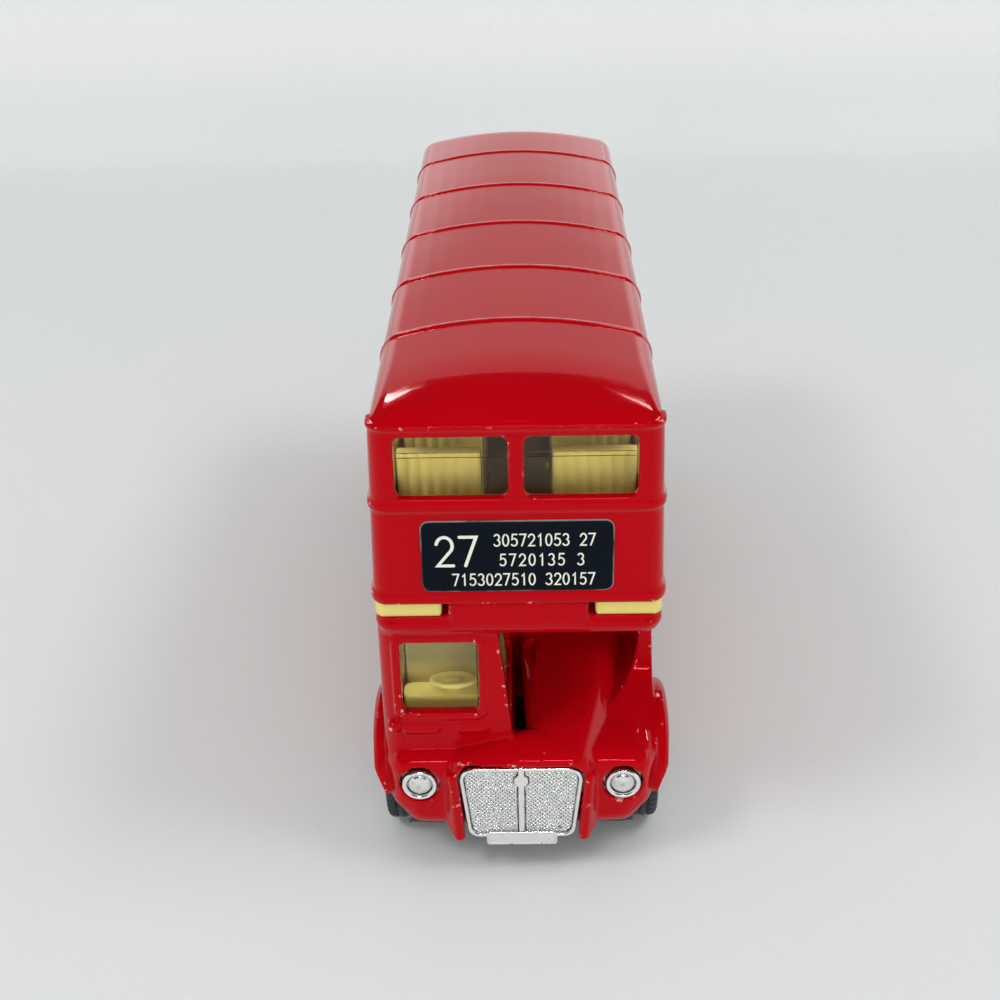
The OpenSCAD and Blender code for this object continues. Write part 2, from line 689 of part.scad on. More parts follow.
// Axle with swaged heads outside the wheels
module axle(y) {
    color(PLATED) translate([0, y, wheel_r]) rotate([0, 90, 0]) {
        translate([0, 0, -tyre_out - 0.1]) cylinder(r = axle_r, h = 2 * tyre_out + 0.2);
        for (s = [0, 1]) mirror([0, 0, s]) translate([0, 0, tyre_out - 0.1])
            cylinder(r1 = axle_r + 0.6, r2 = axle_r + 0.2, h = 0.5);
    }
}

// One wheel station: turns its child onto the axle, at the given side and end
module station(side, y) {
    translate([0, y, wheel_r]) rotate([0, side * 90, 0]) children();
}

// Tyre section turned about the axle, with round shoulders and a wall step
module tyre() {
    r = wheel_r;
    color(DARK) rotate_extrude($fn = 96) polygon(concat(
        [[hub_r, tyre_in], [r - 1.2, tyre_in]],
        bez([r - 0.6, tyre_in], [r - 0.2, tyre_in], [r, tyre_in + 0.3], [r, tyre_in + 0.8], 4),
        bez([r, tyre_out - 0.9], [r, tyre_out - 0.3], [r - 0.3, tyre_out], [r - 0.9, tyre_out], 4),
        [[r - 1.9, tyre_out - 0.1], [hub_r, tyre_out - 0.4]]));
}

// Dished disc with a raised boss, bored for the axle
module hub() {
    color(PLATED) rotate_extrude($fn = 96) polygon([
        [axle_r + fit, tyre_in - 0.6], [axle_r + 1.2, tyre_in - 0.6], [axle_r + 1.2, tyre_in + 0.4],
        [hub_r, tyre_in + 0.4], [hub_r, tyre_out - 0.5], [hub_r - 0.6, tyre_out - 0.5],
        [hub_r - 1.1, tyre_out - 1.6], [axle_r + 1.5, tyre_out - 1.3], [axle_r + 1.3, tyre_out - 0.5],
        [axle_r + fit, tyre_out - 0.5]]);
}

module front_axle() axle(front_axle_y);
module rear_axle() axle(rear_axle_y);
module tyre_fl() station(-1, front_axle_y) tyre();
module tyre_fr() station(1, front_axle_y) tyre();
module tyre_rl() station(-1, rear_axle_y) tyre();
module tyre_rr() station(1, rear_axle_y) tyre();
module hub_fl() station(-1, front_axle_y) hub();
module hub_fr() station(1, front_axle_y) hub();
module hub_rl() station(-1, rear_axle_y) hub();
module hub_rr() station(1, rear_axle_y) hub();

upper_body();
upper_glazing();
upper_deck();
route_label();
lower_body();
lower_glazing();
lower_deck();
radiator_grille();
base_plate();
front_axle();
rear_axle();
tyre_fl();
tyre_fr();
tyre_rl();
tyre_rr();
hub_fl();
hub_fr();
hub_rl();
hub_rr();
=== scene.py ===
"""Looks of a die-cast half-cab double-decker toy bus, built round its solids.

Lengths on the bus are millimetres here, and Blender gets metres. Those of the backdrop, the lamps
and the camera's place are metres. Z is up, and the front faces -Y.
"""

import math

import bmesh
import bpy
import numpy as np
from mathutils import Matrix, Vector


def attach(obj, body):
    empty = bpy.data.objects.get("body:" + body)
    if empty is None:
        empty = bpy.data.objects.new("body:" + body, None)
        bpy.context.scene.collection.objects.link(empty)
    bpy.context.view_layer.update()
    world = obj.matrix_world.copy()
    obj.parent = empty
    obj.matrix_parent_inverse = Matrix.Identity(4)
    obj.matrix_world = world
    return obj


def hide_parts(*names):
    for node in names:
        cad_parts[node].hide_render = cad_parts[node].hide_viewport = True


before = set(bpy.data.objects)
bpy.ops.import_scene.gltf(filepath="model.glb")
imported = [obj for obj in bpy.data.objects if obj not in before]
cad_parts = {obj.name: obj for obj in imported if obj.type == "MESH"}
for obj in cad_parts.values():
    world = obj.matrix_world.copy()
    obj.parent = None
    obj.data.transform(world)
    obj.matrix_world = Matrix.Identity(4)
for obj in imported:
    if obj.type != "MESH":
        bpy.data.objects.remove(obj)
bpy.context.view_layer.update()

MM = 0.001
scene = bpy.context.scene

# Sizes shared with the solids
AXLE_Y = {"f": -48.7, "r": 26.3}
WHEEL_R = 7.75
HUB_R = 4.96
TYRE_X = (13.4, 18.2)
DECK_FRONT = -59.4
GRILLE_Y = -62.15
GRILLE_W = 7.9
GRILLE_FOOT = 7.05
GRILLE_Z = (5.4, 16.5)
LAMP = (13.1, -58.8, 12.9)

# Where the wing lips and the drip bead start to stand out from the sides
LIP_X = 17.7
BEAD_X = 17.25

# Weight of face areas in the normals of the cast, plated and turned pieces
NORMAL_WEIGHT = 60

# The photograph's camera: focal length and frame in pixels, place in metres, turns in degrees
FOCAL_PX, FRAME_PX, SENSOR_MM = 1485.2, 1000.0, 36.0
CAMERA_AT = (0.00142, -0.21215, 0.13546)
PITCH, YAW, ROLL = 28.13, -1.255, -1.32

# Bright panes of the room in reflections: direction, axis along the pane, half width, half height and glow
PANES = (((-0.295, 0.80, 0.53), (0.07, -0.04, 0.09), 0.055, 0.012, 16.0),
         ((0.32, 0.72, 0.61), (0.25, 0.01, -0.13), 0.085, 0.014, 15.0),
         ((0.03, -0.71, 0.70), (1, 0, 0), 0.13, 0.010, 32.0))

# Lamps: name, place and aim in metres, width, height and power in watts
SOFTBOXES = (("left_box", (-0.55, -0.30, 0.75), (0, -0.02, 0.04), 0.30, 0.16, 1.80),
             ("right_box", (0.55, -0.10, 0.80), (0, -0.02, 0.04), 0.40, 0.22, 1.80),
             ("front_box", (0.04, -0.62, 0.17), (0, -0.05, 0.045), 0.50, 0.20, 0.92))


# Meshes

def link(name, mesh):
    ob = bpy.data.objects.new(name, mesh)
    scene.collection.objects.link(ob)
    return ob


def from_mm(name, verts, faces):
    mesh = bpy.data.meshes.new(name)
    mesh.from_pydata([tuple(c * MM for c in v) for v in verts], [], faces)
    mesh.validate()
    return mesh


def smooth_all(mesh):
    mesh.polygons.foreach_set("use_smooth", np.ones(len(mesh.polygons), bool))
    mesh.update()


def outward(mesh):
    """Turns all faces outwards."""
    bm = bmesh.new()
    bm.from_mesh(mesh)
    bmesh.ops.recalc_face_normals(bm, faces=bm.faces)
    bm.to_mesh(mesh)
    bm.free()


def applied(ob, name):
    """The mesh of ob with its modifiers applied, in place of the old one."""
    dg = bpy.context.evaluated_depsgraph_get()
    mesh = bpy.data.meshes.new_from_object(ob.evaluated_get(dg))
    mesh.name = name
    old = ob.data
    ob.modifiers.clear()
    ob.data = mesh
    bpy.data.meshes.remove(old)
    return mesh


def place(ob, body, slot, material, *nodes):
    ob.data.materials.clear()
    ob.data.materials.append(material)
    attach(ob, body)
    if nodes:
        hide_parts(*nodes)
    return ob


# Boards that close the benches over the rear wheels towards the gangway, on the platform side and mirrored
BENCH_BOARDS = [((11.1, 11.9), (16.7, 22.9), (8.8, 18.0)), ((11.1, 11.9), (22.5, 30.1), (10.6, 18.0)),
                ((11.1, 11.9), (29.7, 36.8), (8.8, 18.0))]


def cast_copy(node, name, voxel, rounds, most_faces, boards=()):
    """A copy of a solid, with any boards added to it, that has the soft edges of a casting or moulding."""
    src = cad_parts[node].data
    mesh = src.copy()
    mesh.materials.clear()
    bm = bmesh.new()
    bm.from_mesh(mesh)
    bmesh.ops.remove_doubles(bm, verts=bm.verts, dist=2e-6)
    for x, y, z in boards:
        for side in (-1, 1):
            middle = Vector((side * (x[0] + x[1]), y[0] + y[1], z[0] + z[1])) * 0.5 * MM
            size = Vector((x[1] - x[0], y[1] - y[0], z[1] - z[0])) * MM
            matrix = Matrix.Translation(middle) @ Matrix.Diagonal((*size, 1))
            bmesh.ops.create_cube(bm, size=1.0, matrix=matrix)
    bm.to_mesh(mesh)
    bm.free()
    ob = link(name, mesh)
    m = ob.modifiers.new("cast", "REMESH")
    m.mode = "VOXEL"
    m.voxel_size = voxel * MM
    m.use_smooth_shade = True
    s = ob.modifiers.new("soften", "SMOOTH")
    s.factor = 0.5
    s.iterations = rounds
    mesh = applied(ob, name)
    have = sum(len(p.vertices) - 2 for p in mesh.polygons)
    if have > most_faces:
        d = ob.modifiers.new("thin", "DECIMATE")
        d.ratio = most_faces / have
        mesh = applied(ob, name)
    smooth_all(mesh)
    w = ob.modifiers.new("even", "WEIGHTED_NORMAL")
    w.mode = "FACE_AREA"
    w.weight = NORMAL_WEIGHT
    return ob


def convexity(ob, name="edge", reach=2):
    """Stores how much each point stands out from its neighbours, for wear and painted glints on the edges
    and painted shade in the creases.
    """
    mesh = ob.data
    n = len(mesh.vertices)
    co = np.empty(n * 3, np.float32)
    mesh.vertices.foreach_get("co", co)
    co = co.reshape(-1, 3)
    no = np.empty(n * 3, np.float32)
    mesh.vertices.foreach_get("normal", no)
    no = no.reshape(-1, 3)
    ed = np.empty(len(mesh.edges) * 2, np.int32)
    mesh.edges.foreach_get("vertices", ed)
    ed = ed.reshape(-1, 2)
    bend = np.zeros(n)
    count = np.zeros(n)
    step = co[ed[:, 1]] - co[ed[:, 0]]
    size = np.maximum((step ** 2).sum(1), 1e-12)
    turn = ((no[ed[:, 1]] - no[ed[:, 0]]) * step).sum(1) / size
    for k in (0, 1):
        np.add.at(bend, ed[:, k], turn)
        np.add.at(count, ed[:, k], 1)
    bend /= np.maximum(count, 1)
    for _ in range(reach):
        total = np.zeros(n)
        np.add.at(total, ed[:, 0], bend[ed[:, 1]])
        np.add.at(total, ed[:, 1], bend[ed[:, 0]])
        bend = 0.5 * bend + 0.5 * total / np.maximum(count, 1)
    value = np.clip(bend / 2500.0, -1, 1) * 0.5 + 0.5
    a = mesh.attributes.new(name, "FLOAT", "POINT")
    a.data.foreach_set("value", value.astype(np.float32))


def lathe(profile, turns, place_point, wave=None):
    """Points and faces of a profile turned about an axis; place_point maps (radius, along, angle)."""
    verts, faces = [], []
    n = len(profile)
    for i in range(turns):
        a = 2 * math.pi * i / turns
        for r, t in profile:
            k = wave(r, t, a) if wave else 0.0
            verts.append(place_point(r + k, t, a))
    for i in range(turns):
        j = (i + 1) % turns
        for k in range(n - 1):
            faces.append((i * n + k, j * n + k, j * n + k + 1, i * n + k + 1))
    return verts, faces


def rounded_path(points, radius, steps=5):
    """An open path with its corners rounded."""
    out = [points[0]]
    for p, q, r in zip(points, points[1:], points[2:]):
        a, b, c = (np.array(x, float) for x in (p, q, r))
        k = min(radius, 0.45 * np.linalg.norm(b - a), 0.45 * np.linalg.norm(c - b))
        s = b + (a - b) / max(np.linalg.norm(a - b), 1e-9) * k
        e = b + (c - b) / max(np.linalg.norm(c - b), 1e-9) * k
        for i in range(steps + 1):
            t = i / steps
            out.append(tuple((1 - t) ** 2 * s + 2 * t * (1 - t) * b + t * t * e))
    out.append(points[-1])
    return out


# Materials

class Paint:
    """A material with one Principled shader and helpers for its patterns."""

    def __init__(self, name, **values):
        self.material = bpy.data.materials.new(name)
        self.material.use_nodes = True
        self.tree = self.material.node_tree
        self.tree.nodes.clear()
        self.out = self.node("ShaderNodeOutputMaterial")
        self.shader = self.node("ShaderNodeBsdfPrincipled")
        self.join(self.shader.outputs[0], self.out.inputs["Surface"])
        self.co = self.node("ShaderNodeTexCoord").outputs["Object"]
        for k, v in values.items():
            self.set(k.replace("_", " "), v)

    def node(self, kind, **inputs):
        n = self.tree.nodes.new(kind)
        for k, v in inputs.items():
            if hasattr(v, "is_linked"):
                self.join(v, n.inputs[k])
            else:
                n.inputs[k].default_value = v
        return n

    def join(self, a, b):
        self.tree.links.new(a, b)

    def set(self, socket, value):
        if hasattr(value, "is_linked"):
            self.join(value, self.shader.inputs[socket])
        else:
            self.shader.inputs[socket].default_value = value

    def noise(self, scale, detail=2.0, rough=0.5, shift=0.0, stretch=None):
        co = self.co
        if shift or stretch:
            m = self.node("ShaderNodeMapping", Vector=co)
            m.inputs["Location"].default_value = (shift, shift * 0.7, shift * 1.3)
            m.inputs["Scale"].default_value = stretch or (1, 1, 1)
            co = m.outputs[0]
        n = self.node("ShaderNodeTexNoise", Vector=co, Scale=scale, Detail=detail, Roughness=rough)
        return n.outputs["Fac"]

    def cells(self, scale):
        return self.node("ShaderNodeTexVoronoi", Vector=self.co, Scale=scale)

    def ramp(self, value, low, high, a=0.0, b=1.0, smooth=True):
        n = self.node("ShaderNodeMapRange", Value=value)
        n.interpolation_type = "SMOOTHSTEP" if smooth else "LINEAR"
        for k, v in (("From Min", low), ("From Max", high), ("To Min", a), ("To Max", b)):
            n.inputs[k].default_value = v
        return n.outputs[0]

    def math(self, op, a, b=0.0):
        n = self.tree.nodes.new("ShaderNodeMath")
        n.operation = op
        for i, v in enumerate((a, b)):
            if hasattr(v, "is_linked"):
                self.join(v, n.inputs[i])
            else:
                n.inputs[i].default_value = v
        return n.outputs[0]

    def mix(self, share, a, b):
        n = self.tree.nodes.new("ShaderNodeMix")
        n.data_type = "RGBA"
        for socket, v in ((n.inputs[0], share), (n.inputs[6], a), (n.inputs[7], b)):
            if hasattr(v, "is_linked"):
                self.join(v, socket)
            else:
                socket.default_value = v if not isinstance(v, tuple) or len(v) == 4 else (*v, 1)
        return n.outputs[2]

    def attribute(self, name):
        n = self.tree.nodes.new("ShaderNodeAttribute")
        n.attribute_name = name
        return n.outputs["Fac"]

    def bump(self, height, microns, below=None):
        n = self.node("ShaderNodeBump", Height=height, Strength=1.0, Distance=microns * 1e-6)
        if below is not None:
            self.join(below, n.inputs["Normal"])
        return n.outputs[0]


def red_enamel():
    p = Paint("red_enamel", IOR=1.5, Specular_Tint=(1.0, 0.12, 0.15, 1))
    tone = p.noise(60, 3, 0.55)
    red = p.mix(tone, (0.424, 0.0006, 0.0035), (0.468, 0.0012, 0.0060))
    # Darker in the creases: paint pooled there, and painted shade
    pooled_and_shaded = p.ramp(p.attribute("edge"), 0.46, 0.30)
    red = p.mix(p.math("MULTIPLY", pooled_and_shaded, 0.45), red, (0.26, 0.0002, 0.002))
    # Small pale specks on the edges, painted glints that also read as chips, a few dark specks in the paint
    # and a little dust
    edge = p.ramp(p.attribute("edge"), 0.56, 0.64)
    chip_and_glint = p.ramp(p.noise(800, 4, 0.65, 3.1), 0.615, 0.645)
    chip_and_glint = p.math("MULTIPLY", chip_and_glint, edge)
    red = p.mix(p.math("MULTIPLY", chip_and_glint, 0.75), red, (0.72, 0.52, 0.50))
    spots = p.cells(140)
    small = p.ramp(spots.outputs["Distance"], 0.034, 0.018)
    few = p.node("ShaderNodeSeparateColor", Color=spots.outputs["Color"])
    chosen = p.ramp(few.outputs[0], 0.955, 0.965)
    speck = p.math("MULTIPLY", small, chosen)
    red = p.mix(p.math("MULTIPLY", speck, 0.8), red, (0.05, 0.004, 0.004))
    dust = p.ramp(p.noise(2600, 3, 0.6, 9.7), 0.72, 0.80)
    red = p.mix(p.math("MULTIPLY", dust, 0.10), red, (0.6, 0.45, 0.42))
    p.set("Base Color", red)
    rough = p.ramp(p.noise(35, 4, 0.6, 5.0), 0.35, 0.75, 0.06, 0.10)
    p.set("Roughness", p.math("ADD", rough, p.math("MULTIPLY", dust, 0.10)))
    peel = p.noise(520, 2, 0.4, 1.7)
    flow = p.noise(110, 2, 0.4, 7.3)
    n = p.bump(flow, 22)
    n = p.bump(peel, 3, n)
    n = p.bump(p.math("MULTIPLY", speck, -1.0), 30, n)
    p.set("Normal", n)
    return p.material


def cream_plastic():
    p = Paint("cream_plastic", IOR=1.5)
    tone = p.noise(90, 3, 0.55, 2.0)
    cream = p.mix(tone, (0.86, 0.72, 0.175), (0.90, 0.78, 0.235))
    fleck = p.ramp(p.noise(900, 4, 0.6, 4.4), 0.68, 0.76)
    cream = p.mix(p.math("MULTIPLY", fleck, 0.25), cream, (0.45, 0.33, 0.08))
    # Painted shade in the creases
    darkening = p.ramp(p.attribute("edge"), 0.47, 0.30)
    cream = p.mix(p.math("MULTIPLY", darkening, 0.30), cream, (0.42, 0.32, 0.10))
    # Painted shade where the dull marks lie: dull olive at 1 and near black at 2
    cream = p.mix(p.ramp(p.attribute("dull"), 0.0, 1.0, smooth=False), cream, (0.34, 0.29, 0.125))
    cream = p.mix(p.ramp(p.attribute("dull"), 1.0, 2.0, smooth=False), cream, (0.03, 0.02, 0.012))
    p.set("Base Color", cream)
    p.set("Subsurface Weight", 0.12)
    p.set("Subsurface Radius", (1.0, 0.8, 0.35))
    p.set("Subsurface Scale", 0.0008)
    p.set("Roughness", p.ramp(p.noise(260, 3, 0.6, 8.0), 0.3, 0.7, 0.30, 0.42))
    p.set("Normal", p.bump(p.noise(700, 2, 0.5, 6.0), 6))
    return p.material


def clear_plastic():
    p = Paint("clear_plastic", IOR=1.25)
    haze = p.noise(180, 4, 0.6, 1.0)
    p.set("Base Color", p.mix(haze, (0.985, 0.985, 0.95), (0.95, 0.95, 0.90)))
    p.set("Transmission Weight", 1.0)
    p.set("Roughness", p.ramp(haze, 0.4, 0.8, 0.01, 0.04))
    p.set("Normal", p.bump(p.noise(90, 2, 0.4, 3.0), 8))
    # Lamps reach what is behind the clear moulding
    lit = p.node("ShaderNodeBsdfTransparent", Color=(0.97, 0.97, 0.94, 1))
    path = p.node("ShaderNodeLightPath")
    both = p.node("ShaderNodeMixShader")
    p.join(path.outputs["Is Shadow Ray"], both.inputs[0])
    p.join(p.shader.outputs[0], both.inputs[1])
    p.join(lit.outputs[0], both.inputs[2])
    p.join(both.outputs[0], p.out.inputs["Surface"])
    return p.material


def plated_plastic():
    p = Paint("plated_plastic", Metallic=1.0)
    worn = p.noise(300, 4, 0.6, 1.0)
    silver = p.mix(worn, (0.88, 0.89, 0.88), (0.95, 0.96, 0.95))
    # Darker and rougher where the darkening marks lie, mostly painted shade in the hollows, in patches, and
    # where the plating is lost
    darkening = p.attribute("darkening")
    patchy = p.ramp(p.noise(700, 3, 0.6, 2.0), 0.36, 0.62, 0.25, 1.0)
    dark = p.math("MULTIPLY", darkening, patchy)
    lost = p.ramp(p.noise(1500, 3, 0.6, 5.5), 0.655, 0.70)
    dark = p.math("MAXIMUM", dark, p.math("MULTIPLY", lost, 0.7))
    p.set("Base Color", p.mix(dark, silver, (0.035, 0.038, 0.040)))
    p.set("Roughness", p.math("ADD", p.ramp(worn, 0.3, 0.7, 0.16, 0.28), p.math("MULTIPLY", dark, 0.35)))
    p.set("Normal", p.bump(p.noise(1100, 2, 0.5, 7.0), 4))
    return p.material


def label_film():
    p = Paint("label_film", IOR=1.48, Specular_IOR_Level=0.08)
    tone = p.noise(220, 3, 0.6)
    ink = p.mix(tone, (0.0012, 0.0034, 0.0080), (0.0030, 0.0066, 0.0120))
    scratch = p.ramp(p.noise(500, 3, 0.6, 2.0, (1.0, 1.0, 0.12)), 0.71, 0.76)
    rim = p.math("MULTIPLY", p.attribute("rim"), p.ramp(p.noise(160, 3, 0.6, 4.0), 0.42, 0.60, 0.10, 0.75))
    bare = p.math("MAXIMUM", p.math("MULTIPLY", scratch, 0.35), rim)
    p.set("Base Color", p.mix(bare, ink, (0.36, 0.37, 0.35)))
    p.set("Roughness", p.ramp(tone, 0.3, 0.7, 0.28, 0.40))
    p.set("Normal", p.bump(p.noise(260, 2, 0.4, 5.0), 5))
    return p.material


def label_print():
    p = Paint("label_print", IOR=1.48, Specular_IOR_Level=0.2)
    worn = p.ramp(p.noise(1500, 4, 0.65), 0.22, 0.42)
    p.set("Base Color", p.mix(worn, (0.46, 0.47, 0.40), (0.82, 0.82, 0.70)))
    p.set("Roughness", p.ramp(p.noise(600, 2, 0.5, 3.0), 0.3, 0.7, 0.35, 0.48))
    p.set("Normal", p.bump(p.noise(1800, 2, 0.5, 5.0), 3))
    return p.material


def tyre_plastic():
    p = Paint("tyre_plastic", IOR=1.5)
    tone = p.noise(240, 4, 0.6)
    dust = p.ramp(p.noise(1300, 4, 0.65, 3.0), 0.60, 0.80)
    black = p.mix(tone, (0.008, 0.011, 0.016), (0.016, 0.021, 0.029))
    p.set("Base Color", p.mix(p.math("MULTIPLY", dust, 0.35), black, (0.09, 0.09, 0.09)))
    p.set("Roughness", p.ramp(tone, 0.3, 0.7, 0.36, 0.55))
    p.set("Normal", p.bump(p.noise(900, 3, 0.55, 2.0), 14))
    return p.material


def base_metal():
    p = Paint("base_metal", IOR=1.5)
    tone = p.noise(130, 4, 0.6)
    edge = p.ramp(p.attribute("edge"), 0.58, 0.85)
    rub = p.math("MULTIPLY", edge, p.ramp(p.noise(450, 4, 0.65, 2.0), 0.42, 0.60))
    grey = p.mix(tone, (0.020, 0.021, 0.023), (0.036, 0.037, 0.040))
    p.set("Base Color", p.mix(p.math("MULTIPLY", rub, 0.7), grey, (0.32, 0.32, 0.31)))
    p.set("Roughness", p.ramp(tone, 0.3, 0.7, 0.34, 0.52))
    p.set("Normal", p.bump(p.noise(600, 3, 0.5, 4.0), 10))
    return p.material


def axle_steel():
    p = Paint("axle_steel", Metallic=1.0)
    drawn = p.noise(900, 3, 0.6, 0.0, (0.05, 1.0, 1.0))
    p.set("Base Color", p.mix(drawn, (0.42, 0.42, 0.42), (0.62, 0.62, 0.61)))
    p.set("Roughness", p.ramp(drawn, 0.3, 0.7, 0.22, 0.38))
    p.set("Normal", p.bump(drawn, 6))
    return p.material


RED = red_enamel()
CREAM = cream_plastic()
CLEAR = clear_plastic()
PLATED = plated_plastic()
FILM = label_film()
PRINT = label_print()
TYRE = tyre_plastic()
BASE = base_metal()
STEEL = axle_steel()


# Castings and mouldings

def ease(ob):
    """Lets the front ends of the wing lips and of the drip bead die away into the sides."""
    mesh = ob.data
    co = np.empty(len(mesh.vertices) * 3, np.float32)
    mesh.vertices.foreach_get("co", co)
    co = co.reshape(-1, 3) / MM
    x, y, z = np.abs(co[:, 0]), co[:, 1], co[:, 2]
    t = np.clip((z - 10.0) / 3.6, 0, 1)
    lip = (x > LIP_X) & (y < -49) & (z < 14)
    k = 0.12 + 0.88 * t * t * (3 - 2 * t)
    new = np.where(lip, LIP_X + (x - LIP_X) * k, x)
    end = (x > BEAD_X) & (y < -54) & (z > 62.3) & (z < 64.3)
    new = np.where(end, BEAD_X + (x - BEAD_X) * 0.45, new)
    co[:, 0] = np.sign(co[:, 0]) * new
    mesh.vertices.foreach_set("co", (co * MM).astype(np.float32).ravel())
    mesh.update()


def dull(ob, node):
    """Marks where the cream is painted darker, for the shade that the photograph shows inside the decks.

    That is the partition behind the driver, the upper gangway, the front end of the lower floor and, a
    little, the band outside.
    """
    mesh = ob.data
    co = np.empty(len(mesh.vertices) * 3, np.float32)
    mesh.vertices.foreach_get("co", co)
    x, y, z = (co.reshape(-1, 3) / MM).T
    # 0 is plain cream, 1 dull and 2 near black
    if node == "lower_deck":
        value = np.where((y < -44.5) & (y > -48.0), np.clip((z - 20.0) / 3.0, 0, 1), 0.0)
        value = np.where((y < -30.0) & (np.abs(x) < 6.0) & (z < 11.0), 2.0, value)
    else:
        value = np.where((np.abs(x) < 4.4) & (y < 40), np.clip((z - 38.0) / 2.0, 0, 1) * 1.15, 0.0)
        value = np.where((z < 39.8) & ((np.abs(x) > 16.5) | (y < -56.5)), 0.2, value)
    a = mesh.attributes.new("dull", "FLOAT", "POINT")
    a.data.foreach_set("value", value.astype(np.float32))


for node, voxel, rounds, most, body_slot, material in (
        ("upper_body", 0.24, 4, 190000, "red_enamel", RED),
        ("lower_body", 0.24, 4, 190000, "red_enamel", RED),
        ("upper_deck", 0.30, 2, 110000, "cream_plastic", CREAM),
        ("lower_deck", 0.30, 2, 110000, "cream_plastic", CREAM),
        ("base_plate", 0.32, 2, 70000, "base_metal", BASE)):
    ob = cast_copy(node, node + "_cast", voxel, rounds, most, BENCH_BOARDS if node == "lower_deck" else ())
    if material is RED:
        ease(ob)
    if material is CREAM:
        dull(ob, node)
    convexity(ob)
    place(ob, "bus", body_slot, material, node)

for node in ("upper_glazing", "lower_glazing"):
    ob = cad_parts[node]
    ob.data.materials.clear()
    ob.data.materials.append(CLEAR)


# Radiator grille with its headlamps, one plated moulding

def grille_half(z):
    """Half the width of the grille at height z."""
    z0, z1 = GRILLE_Z
    foot = GRILLE_FOOT
    if z < z0 + 1.6:
        return foot - 1.6 + math.sqrt(max(1.6 ** 2 - (z0 + 1.6 - z) ** 2, 0))
    if z > z1 - 2:
        return GRILLE_W - 2 + math.sqrt(max(4 - (z - z1 + 2) ** 2, 0))
    return foot + (GRILLE_W - foot) * (z - z0 - 1.6) / (z1 - 2 - z0 - 1.6)


def step(x, a, b):
    t = min(max((x - a) / (b - a), 0.0), 1.0)
    return t * t * (3 - 2 * t)


def grille_edge(x, z):
    """Distance from (x, z) to the outline."""
    z0, z1 = GRILLE_Z
    x = abs(x)
    foot = GRILLE_FOOT
    if z > z1 - 2 and x > GRILLE_W - 2:
        return 2 - math.hypot(x - GRILLE_W + 2, z - z1 + 2)
    if z < z0 + 1.6 and x > foot - 1.6:
        return 1.6 - math.hypot(x - foot + 1.6, z - z0 - 1.6)
    return min(grille_half(z) - x, z - z0, z1 - z)


def grille_depth(x, z):
    """Depth of the front of the grille behind its frame, and the painted shade in its hollows."""
    e = grille_edge(x, z)
    rim = 0.52
    frame_y = 0.16 * abs(2 * min(max(e / rim, 0), 1) - 1) ** 3
    pitch = 0.60
    a, b = (x + z) / pitch, (x - z) / pitch
    ra = 0.5 + 0.5 * math.cos(2 * math.pi * a)
    rb = 0.5 + 0.5 * math.cos(2 * math.pi * b)
    knurl = 0.6 * max(ra, rb) + 0.2 * (ra + rb)
    mesh_y = 0.46 - 0.26 * knurl
    bar = abs(x)
    boss = math.hypot(x, z - 14.35)
    groove = max(1 - step(e - rim, 0.06, 0.18), 1 - step(bar - 0.40, 0.06, 0.18),
                 1 - step(boss - 0.95, 0.05, 0.15))
    y = mesh_y + (0.74 - mesh_y) * groove
    y = frame_y + (y - frame_y) * step(e, rim - 0.04, rim + 0.08)
    bar_y = 0.08 + 0.10 * min(bar / 0.38, 1) ** 4
    y = min(y, bar_y + 0.7 * step(bar, 0.36, 0.46)) if bar < 0.5 else y
    boss_y = 0.02 + 0.12 * min(boss / 0.9, 1) ** 4 + 0.07 * (1 - step(boss, 0.50, 0.62))
    y = min(y, boss_y + 0.7 * step(boss, 0.88, 1.0)) if boss < 1.04 else y
    return y, 0.55 * step(y, 0.36, 0.46) + 0.45 * step(y, 0.48, 0.70)


def grille_mesh():
    verts, faces, darkening = [], [], []
    nx, nz = 290, 205
    z0, z1 = GRILLE_Z
    for j in range(nz + 1):
        z = z0 + (z1 - z0) * j / nz
        w = grille_half(z)
        for i in range(nx + 1):
            x = w * (2 * i / nx - 1)
            y, g = grille_depth(x, z)
            verts.append((x, GRILLE_Y + y, z))
            darkening.append(g)
    row = nx + 1
    for j in range(nz):
        for i in range(nx):
            k = j * row + i
            faces.append((k, k + 1, k + row + 1, k + row))
    ring = [i for i in range(row)] + [j * row + nx for j in range(1, nz + 1)]
    ring += [nz * row + i for i in range(nx - 1, -1, -1)] + [j * row for j in range(nz - 1, 0, -1)]
    back = len(verts)
    for k in ring:
        x, y, z = verts[k]
        verts.append((x, GRILLE_Y + 1.9, z))
        # Painted shade on the sides of the grille
        darkening.append(0.6)
    n = len(ring)
    for k in range(n):
        faces.append((ring[(k + 1) % n], ring[k], back + k, back + (k + 1) % n))
    faces.append([back + k for k in range(n - 1, -1, -1)])
    return verts, faces, darkening


def add(parts, verts, faces, darkening):
    """Adds a closed shape to the lists of one mesh."""
    base = len(parts[0])
    parts[0].extend(verts)
    parts[1].extend([[base + k for k in f] for f in faces])
    parts[2].extend(darkening)


def soft_block(x, y, z, r=0.25):
    """A block with bevelled edges."""
    bm = bmesh.new()
    bmesh.ops.create_cube(bm, size=1.0)
    for v in bm.verts:
        v.co = Vector([span[0] if c < 0 else span[1] for c, span in zip(v.co, (x, y, z))])
    bmesh.ops.bevel(bm, geom=bm.edges[:], offset=r, segments=3, profile=0.5, affect="EDGES")
    bm.verts.index_update()
    out = [tuple(v.co) for v in bm.verts], [[v.index for v in f.verts] for f in bm.faces]
    bm.free()
    return out


